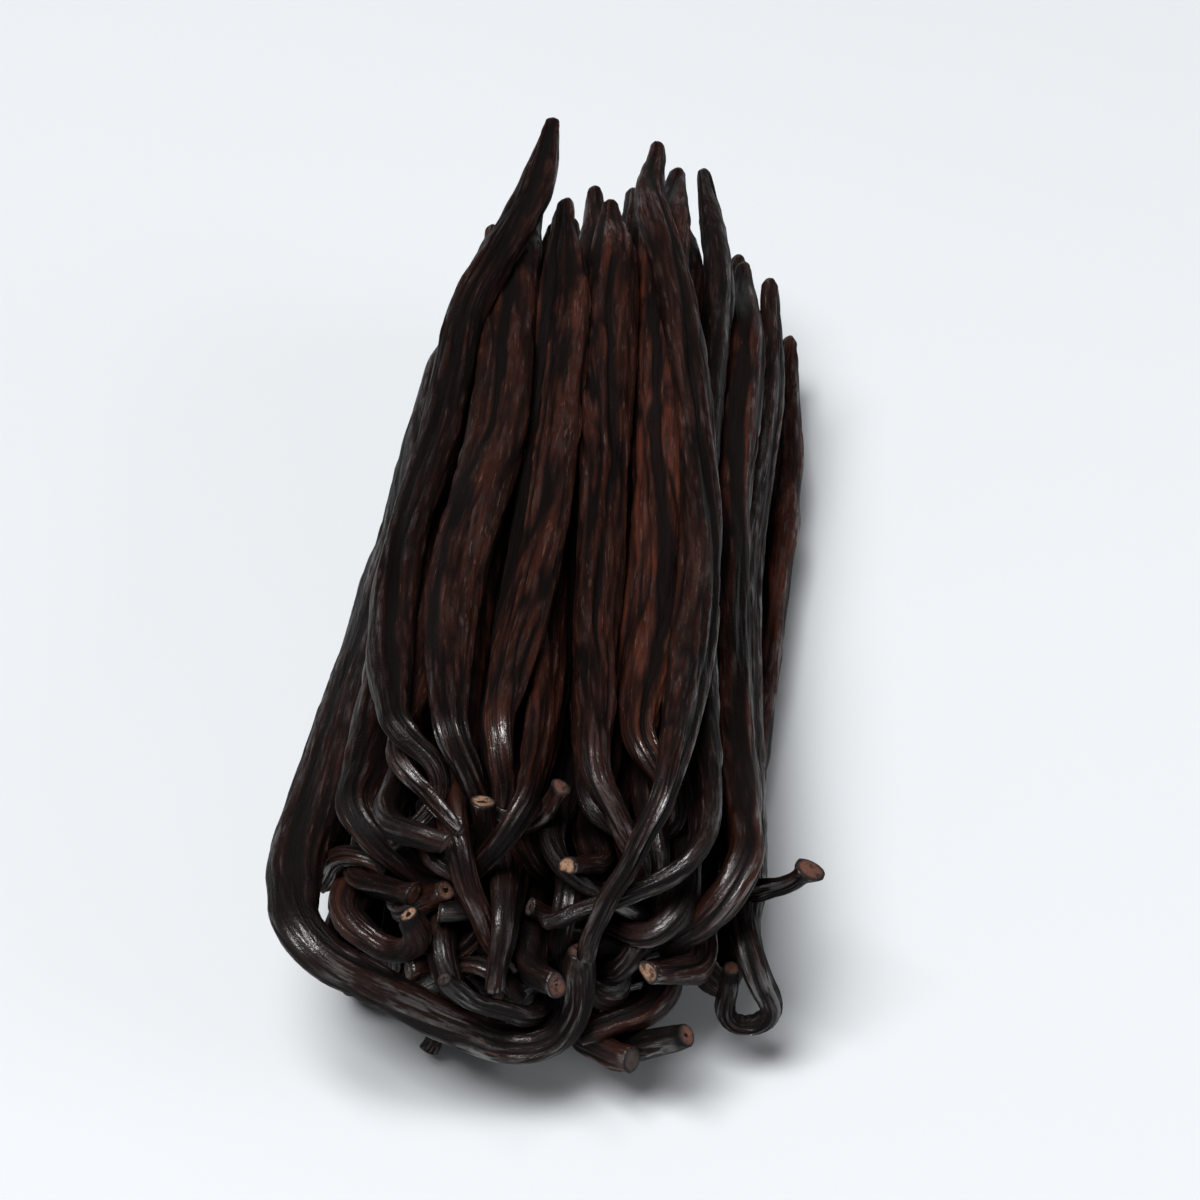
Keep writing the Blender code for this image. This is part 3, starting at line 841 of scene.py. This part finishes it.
def cut_end(colours, shapes):
    """Dry cut end of a vanilla stalk: snapped or cut when green and dried out, so it is matt,
    pale and fibrous, with a dark rim where the skin starts."""
    material = bpy.data.materials.new("dry cut vanilla stalk, fibrous")
    material.use_nodes = True
    tree = material.node_tree
    shader = tree.nodes["Principled BSDF"]
    grain = add(tree, "ShaderNodeAttribute", {"attribute_name": "grain"}).outputs["Vector"]
    finish = add(tree, "ShaderNodeAttribute", {"attribute_name": "finish"}).outputs["Vector"]
    tone, rim, deep = add(tree, "ShaderNodeSeparateXYZ", _0=finish).outputs
    fibres = add(tree, "ShaderNodeTexNoise", Vector=grain, Scale=1.0 / 0.35, Detail=3.0,
                 Roughness=0.65)
    patches = add(tree, "ShaderNodeTexNoise", Vector=grain, Scale=1.0 / 1.3, Detail=2.0)
    # Each layer of colour: what drives it, the range that brings it in, how strong it gets
    colour = colours.cut_tan
    for drive, low, high, most, over in (
            (tone, 0.30, 0.50, 1.0, colours.cut_brown), (tone, 0.68, 0.80, 1.0, colours.cut_grey),
            (fibres, 0.45, 0.70, 0.7, colours.cut_brown),
            (patches, 0.50, 0.68, 0.8, colours.dark_skin), (rim, 0.62, 0.98, 1.0,
                                                            colours.dark_skin),
            # the pit is painted darker by its depth: painted shade in the recess
            (deep, 0.20, 1.0, 0.8, colours.dark_skin)):
        share = add(tree, "ShaderNodeMapRange", SMOOTH_RANGE, Value=drive, From_Min=low,
                    From_Max=high, To_Max=most)
        colour = add(tree, "ShaderNodeMix", COLOURS, _0=share, _6=colour, _7=over).outputs[2]
    tree.links.new(colour, shader.inputs["Base Color"])
    dry = add(tree, "ShaderNodeMapRange", SMOOTH_RANGE, Value=fibres, From_Min=0.3, From_Max=0.7,
              To_Min=0.6, To_Max=0.85)
    tree.links.new(dry.outputs[0], shader.inputs["Roughness"])
    shader.inputs["Specular IOR Level"].default_value = 0.3
    bump = add(tree, "ShaderNodeBump", Height=fibres, Distance=shapes.cut_grain,
               Strength=1.0)
    tree.links.new(bump.outputs[0], shader.inputs["Normal"])
    return material


def pale_floor(colours):
    """Matt white laminate board: smooth and even, so it only takes the bundle's soft shadow."""
    material = bpy.data.materials.new("matt white laminate board")
    material.use_nodes = True
    tree = material.node_tree
    shader = tree.nodes["Principled BSDF"]
    place = add(tree, "ShaderNodeTexCoord").outputs["Object"]
    cloud = add(tree, "ShaderNodeTexNoise", Vector=place, Scale=4.0, Detail=2.0)
    board = add(tree, "ShaderNodeMix", COLOURS, _0=cloud, _6=colours.floor,
                _7=colours.floor_shade).outputs[2]
    tree.links.new(board, shader.inputs["Base Color"])
    shader.inputs["Roughness"].default_value = 0.7
    return material


# ---------------------------------------------------------------------------- sizes and colours


def colour_property(name, description, colour):
    return bpy.props.FloatVectorProperty(name=name, description=description, subtype="COLOR",
                                         size=4, min=0.0, max=1.0, default=linear(colour))


def depth_property(name, description, millimetres):
    return bpy.props.FloatProperty(name=name, description=description, min=0.0, soft_max=0.002,
                                   default=millimetres * MM, precision=5, unit="LENGTH")


class VanillaShapes(bpy.types.PropertyGroup):
    """How deeply the pods are wrinkled."""
    ridge_depth: depth_property("Ridge depth", "Height of the broad ridges along a pod", 0.50)
    crease_depth: depth_property("Crease depth", "Height of the fine creases on them", 0.26)
    fold_depth: bpy.props.FloatProperty(
        name="Fold depth", description="How far the long folds sink in, 1 is as grown",
        default=1.0, min=0.0, soft_max=2.0, subtype="FACTOR")
    bend_wrinkles: depth_property("Bend wrinkles", "Depth of the wrinkles inside a bend", 0.22)
    skin_grain: depth_property("Skin grain", "Depth of the finest streaks of the skin", 0.40)
    cut_grain: depth_property("Cut grain", "Depth of the fibres on the cut ends", 0.25)


class VanillaColours(bpy.types.PropertyGroup):
    """The colours of skin, cut ends and floor."""
    dark_skin: colour_property("Dark skin", "The nearly black skin", "#060302")
    red_skin: colour_property("Red skin", "Skin where red-brown shows through", "#3e1b10")
    # Pale fine streaks mixed into the skin's colour: partly dry dust and partly painted sheen
    dust_and_sheen_streak: colour_property("Dusty streak", "Dry fine streaks on the skin", "#54403a")
    stalk_skin: colour_property("Stalk skin", "The greyer skin of the stalks", "#120b09")
    # Painted shade: the near-black painted into the bottoms of folds and creases by their depth
    groove: colour_property("Groove", "The bottom of folds and creases", "#040202")
    cut_tan: colour_property("Cut tan", "Pale cut ends", "#846550")
    cut_brown: colour_property("Cut brown", "Reddish cut ends", "#503126")
    cut_grey: colour_property("Cut grey", "Weathered cut ends", "#352d2b")
    floor: colour_property("Floor", "The board under the bundle", "#bcbfc2")
    floor_shade: colour_property("Floor shade", "Its faint cloudy patches", "#b8bbbe")


def pods_where(test):
    """The settled pods for which the test holds."""
    return [pod for pod in settled_pods() if test(pod)]


def quarter(pod):
    """Which side of the bundle an outermost pod lies on."""
    angle = math.degrees(pod["angle"]) % 360.0
    return ("right", "upper", "left", "lower")[int((angle + 45.0) % 360.0 // 90.0)]


class VANILLA_OT_outer_pods(bpy.types.Operator):
    """Model the outermost pods, one piece for each side of the bundle"""
    bl_idname = "vanilla.outer_pods"
    bl_label = "Outer Pods"

    def execute(self, context):
        scene = context.scene
        for side in ("upper", "right", "left", "lower"):
            pods = pods_where(lambda pod: pod["ring"] == 0 and quarter(pod) == side)
            make_pod_piece(side + "_pods", pods, OUTER_MESH, scene.vanilla_shapes,
                           scene.vanilla_colours)
        return {"FINISHED"}


class VANILLA_OT_second_pods(bpy.types.Operator):
    """Model the ring of pods just under the outermost ones"""
    bl_idname = "vanilla.second_pods"
    bl_label = "Second Pods"

    def execute(self, context):
        scene = context.scene
        make_pod_piece("second_pods", pods_where(lambda pod: pod["ring"] == 1), SECOND_MESH,
                       scene.vanilla_shapes, scene.vanilla_colours)
        return {"FINISHED"}


class VANILLA_OT_inner_pods(bpy.types.Operator):
    """Model the pods inside the bundle"""
    bl_idname = "vanilla.inner_pods"
    bl_label = "Inner Pods"

    def execute(self, context):
        scene = context.scene
        make_pod_piece("inner_pods", pods_where(lambda pod: pod["ring"] > 1), INNER_MESH,
                       scene.vanilla_shapes, scene.vanilla_colours)
        return {"FINISHED"}


CUT_SIDES = 28
CUT_INSETS = (0.07, 0.12, 0.17, 0.20)
CUT_SIZE = (0.965, 0.9)    # of the stalk's rim, for the face that shows and the one inside
CUT_SINK = 0.6             # how deep the inner face lies in the stalk, in mm
RIM_ROWS = 122             # rows of the skin that is worked out to find where it ends


class VANILLA_OT_stalk_cuts(bpy.types.Operator):
    """Model the dry cut end of every stalk"""
    bl_idname = "vanilla.stalk_cuts"
    bl_label = "Stalk Cuts"

    def execute(self, context):
        scene = context.scene
        disc = model_disc(CUT_SIDES, CUT_INSETS)
        blank = coordinates(disc.data)
        turns = np.arctan2(blank[:, 1], blank[:, 0]) / math.tau % 1.0
        out = np.minimum(np.hypot(blank[:, 0], blank[:, 1]), 1.0)
        upper = blank[:, 2] > -0.5
        copies = []
        pods = settled_pods()
        for index, pod in enumerate(pods):
            points, grain, _ = pod_surface(pod, OUTER_MESH[0], RIM_ROWS,
                                           scene.vanilla_shapes)
            rim = points[-1]
            middle = rim.mean(axis=0)
            ahead = unit(middle - points[-3].mean(axis=0))
            rng = np.random.default_rng((SEED, index, 7))
            edge = rim[np.rint(turns * OUTER_MESH[0]).astype(int) % OUTER_MESH[0]]
            relief = ripple(rng, turns, out * 3.0, 7, 1.0) * 0.14 * smooth((1.0 - out) / 0.2)
            # A pit sunk in some cut ends, which the material paints darker by its depth as painted
            # shade
            pit = rng.uniform(0.2, 0.55) * (rng.random() < 0.4) * smooth(1.0 - out / 0.7)
            lift = np.where(upper, 0.10 + 0.10 * (1.0 - out ** 2) + relief - pit, -CUT_SINK)
            shaped = middle + (edge - middle) * (out * np.where(upper, *CUT_SIZE))[:, None]
            shaped = shaped + ahead * (lift * MM)[:, None]
            shaped[:, 2] = np.maximum(shaped[:, 2], CAD_BOX[0][2])
            flat = np.stack([out * np.cos(turns * math.tau), out * np.sin(turns * math.tau),
                             0.0 * out], axis=1) * 2.0 + 9.0 * index
            finish = np.stack([np.full_like(out, rng.random()), np.where(upper, out, 1.0),
                               pit + 0.0 * out], axis=1)
            copy = shaped_copy(disc, "stalk_cuts", shaped, {"grain": flat, "finish": finish})
            self.lay_out(copy, index, len(pods))
            copies.append(copy)
        bpy.data.objects.remove(disc)
        join(copies, "stalk_cuts", cut_end(scene.vanilla_colours, scene.vanilla_shapes))
        return {"FINISHED"}

    @staticmethod
    def lay_out(copy, index, count):
        """Give the disc its own square of the map."""
        squares = math.ceil(math.sqrt(count))
        layer = copy.data.uv_layers["OFBake"].uv
        found = np.empty(2 * len(layer))
        layer.foreach_get("vector", found)
        corner = np.array([index % squares, index // squares])
        spread = (found.reshape(-1, 2) * 0.94 + 0.03 + corner) / squares
        layer.foreach_set("vector", spread.ravel())


# ------------------------------------------------------------------------------------- the stage

CAMERA_LENS = 100.0
CAMERA_TARGET = (0.0, -0.002, 0.020)
CAMERA_DISTANCE = 0.455
CAMERA_AZIMUTH = math.radians(5.0)      # turned towards the bundle's right side
CAMERA_ELEVATION = math.radians(40.0)
# The soft lights: where they stand, how wide they are and their power in watts
LIGHTS = {
    "overhead softbox": ((-0.60, -0.84, 2.68), 1.40, 150.0),
    "side softbox": ((1.90, -0.50, 1.00), 1.20, 12.0),
}
FRONT_FILL = 0.17          # strength of the white room in front of the bundle, and behind it
BACK_FILL = 0.11
BACKDROP = 0.86            # and of what shows past the end of the floor
ROOM_COLOUR = (0.93, 0.97, 1.0, 1.0)
FLOOR_SIZE = 4.0


class VANILLA_OT_stage(bpy.types.Operator):
    """Set up the floor, the soft light and the camera"""
    bl_idname = "vanilla.stage"
    bl_label = "Stage"

    def execute(self, context):
        scene = context.scene
        select_nothing()
        bpy.ops.mesh.primitive_plane_add(size=FLOOR_SIZE, location=(0.0, 0.0, 0.0))
        floor = context.object
        floor.name = "floor"
        floor.data.materials.append(pale_floor(scene.vanilla_colours))
        for name, (place, size, power) in LIGHTS.items():
            self.add_light(scene, name, place, size, power)
        scene.world = self.make_world()
        self.add_camera(scene)
        scene.view_settings.view_transform = "Standard"
        return {"FINISHED"}

    @staticmethod
    def make_world():
        """A white room in front of the bundle and to its sides, darker behind it, and a pale
        backdrop past the end of the floor."""
        world = bpy.data.worlds.new("white room")
        world.use_nodes = True
        tree = world.node_tree
        way = add(tree, "ShaderNodeTexCoord").outputs["Generated"]
        front = add(tree, "ShaderNodeSeparateXYZ", _0=way).outputs["Y"]
        strength = add(tree, "ShaderNodeMapRange", SMOOTH_RANGE, Value=front, From_Min=0.45,
                       From_Max=-0.85, To_Min=BACK_FILL, To_Max=FRONT_FILL)
        seen = add(tree, "ShaderNodeLightPath").outputs["Is Camera Ray"]
        strength = add(tree, "ShaderNodeMix", _0=seen, _2=strength, _3=BACKDROP)
        background = tree.nodes["Background"]
        background.inputs["Color"].default_value = ROOM_COLOUR
        tree.links.new(strength.outputs[0], background.inputs["Strength"])
        return world

    @staticmethod
    def add_light(scene, name, place, size, power):
        """A square soft light that faces the bundle."""
        light = bpy.data.lights.new(name, "AREA")
        light.size = size
        light.energy = power
        lamp = bpy.data.objects.new(name, light)
        lamp.location = place
        lamp.rotation_euler = (-Vector(place)).to_track_quat("-Z", "Y").to_euler()
        scene.collection.objects.link(lamp)

    @staticmethod
    def add_camera(scene):
        """The camera looks down on the hooked ends, with a long lens."""
        target = Vector(CAMERA_TARGET)
        away = Vector((math.sin(CAMERA_AZIMUTH) * math.cos(CAMERA_ELEVATION),
                       -math.cos(CAMERA_AZIMUTH) * math.cos(CAMERA_ELEVATION),
                       math.sin(CAMERA_ELEVATION)))
        camera = bpy.data.cameras.new("camera")
        camera.lens = CAMERA_LENS
        camera.clip_start = 0.01
        eye = bpy.data.objects.new("camera", camera)
        eye.location = target + CAMERA_DISTANCE * away
        eye.rotation_euler = (-away).to_track_quat("-Z", "Y").to_euler()
        scene.collection.objects.link(eye)
        scene.camera = eye


class VANILLA_PT_bundle(bpy.types.Panel):
    """Lists the steps that build the bundle"""
    bl_label = "Vanilla Pod Bundle"
    bl_idname = "VANILLA_PT_bundle"
    bl_space_type = "VIEW_3D"
    bl_region_type = "UI"
    bl_category = "Vanilla"

    def draw(self, context):
        scene = context.scene
        for group in (scene.vanilla_shapes, scene.vanilla_colours):
            for name in group.__annotations__:
                self.layout.prop(group, name)
        for step in STEPS:
            self.layout.operator(step.bl_idname)


STEPS = (VANILLA_OT_outer_pods, VANILLA_OT_second_pods, VANILLA_OT_inner_pods,
         VANILLA_OT_stalk_cuts, VANILLA_OT_stage)
CLASSES = (VanillaShapes, VanillaColours, *STEPS, VANILLA_PT_bundle)


def register():
    for item in CLASSES:
        bpy.utils.register_class(item)
    bpy.types.Scene.vanilla_shapes = bpy.props.PointerProperty(type=VanillaShapes)
    bpy.types.Scene.vanilla_colours = bpy.props.PointerProperty(type=VanillaColours)


def unregister():
    del bpy.types.Scene.vanilla_colours
    del bpy.types.Scene.vanilla_shapes
    for item in reversed(CLASSES):
        bpy.utils.unregister_class(item)


def main():
    register()
    bpy.ops.vanilla.outer_pods()
    bpy.ops.vanilla.second_pods()
    bpy.ops.vanilla.inner_pods()
    bpy.ops.vanilla.stalk_cuts()
    bpy.ops.vanilla.stage()


if __name__ == "__main__":
    main()
